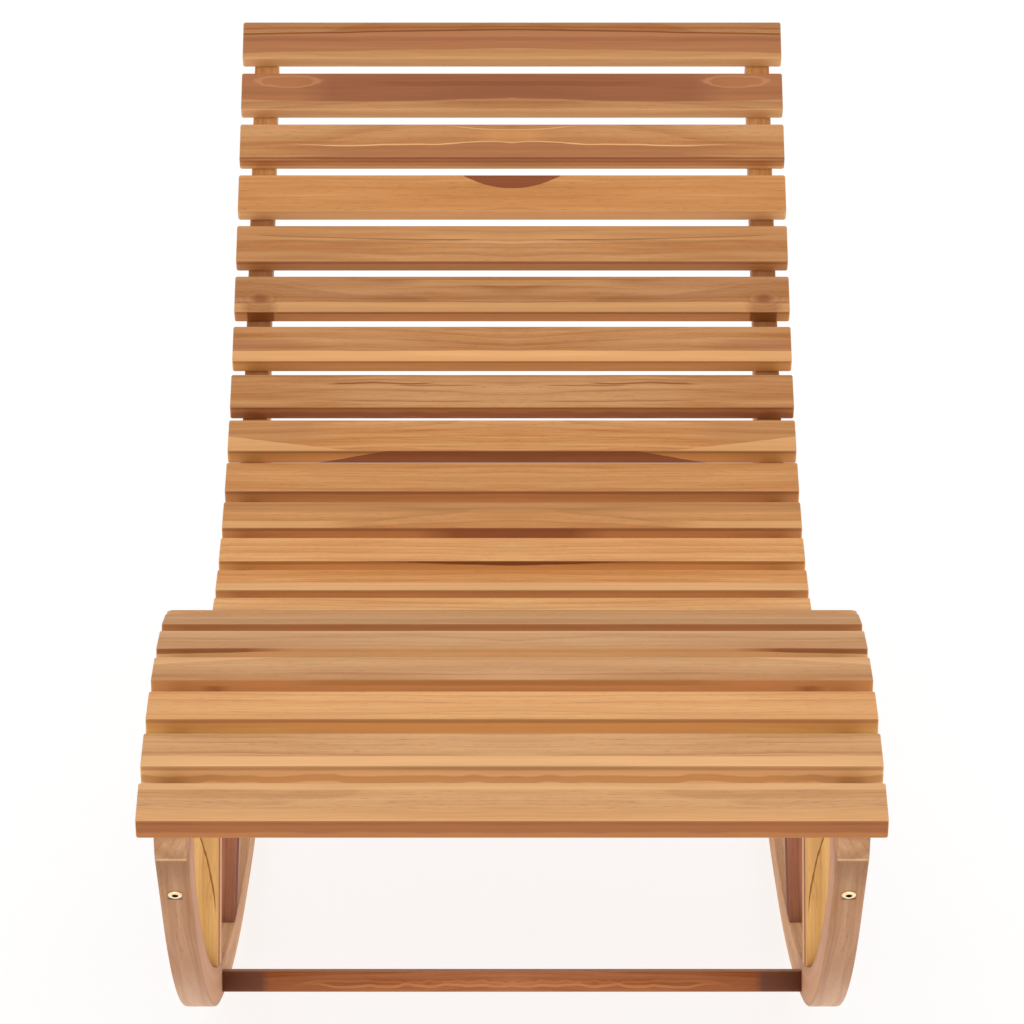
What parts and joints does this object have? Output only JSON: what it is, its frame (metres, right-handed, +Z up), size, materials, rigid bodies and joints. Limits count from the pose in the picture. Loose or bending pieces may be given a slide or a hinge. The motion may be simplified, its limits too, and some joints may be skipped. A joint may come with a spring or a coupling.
{
  "type": "rocking chaise lounge",
  "caption": "Rocking chaise lounge of slatted hardwood: a wave-shaped slatted seat on curved side rockers, braced by slanted posts and crossbars.",
  "frame": {"origin": "on the floor, under the centre of the bounding box", "axes": "+X to the right as seen from the foot end, +Y from the foot end to the head end, +Z up"},
  "size_m": [0.6, 1.8151, 0.7287],
  "materials": {
    "slats": "sanded, unvarnished",
    "frame": "sanded, unvarnished",
    "posts": "sanded, unvarnished",
    "dark_wood": "sanded, unvarnished",
    "brass": "satin"
  },
  "bodies": {
    "root": {"slat_01": "slats", "slat_02": "slats", "slat_03": "slats", "slat_04": "slats", "slat_05": "slats", "slat_06": "slats", "slat_07": "slats", "slat_08": "slats", "slat_09": "slats", "slat_10": "slats", "slat_11": "slats", "slat_12": "slats", "slat_13": "slats", "slat_14": "slats", "slat_15": "slats", "slat_16": "slats", "slat_17": "slats", "slat_18": "slats", "slat_19": "slats", "slat_20": "slats", "slat_21": "slats", "slat_22": "slats", "slat_23": "slats", "slat_24": "slats", "slat_25": "slats", "slat_26": "slats", "slat_27": "slats", "slat_28": "slats", "slat_29": "slats", "slat_30": "slats", "calf_rail_left": "frame", "calf_rail_right": "frame", "seat_rail_left": "frame", "seat_rail_right": "frame", "back_rail_left": "frame", "back_rail_right": "frame", "front_rocker_left": "frame", "front_rocker_right": "frame", "middle_rocker_left": "frame", "middle_rocker_right": "frame", "rear_rocker_left": "frame", "rear_rocker_right": "frame", "front_post_left": "posts", "front_post_right": "posts", "rear_post_left": "posts", "rear_post_right": "posts", "seat_strut_left": "dark_wood", "seat_strut_right": "dark_wood", "front_bolt_left": "brass", "front_bolt_right": "brass", "rear_bolt_left": "brass", "rear_bolt_right": "brass", "front_nut_left": "brass", "front_nut_right": "brass", "rear_nut_left": "brass", "rear_nut_right": "brass", "front_crossbar": "dark_wood", "rear_crossbar": "dark_wood"}
  },
  "joints": []
}
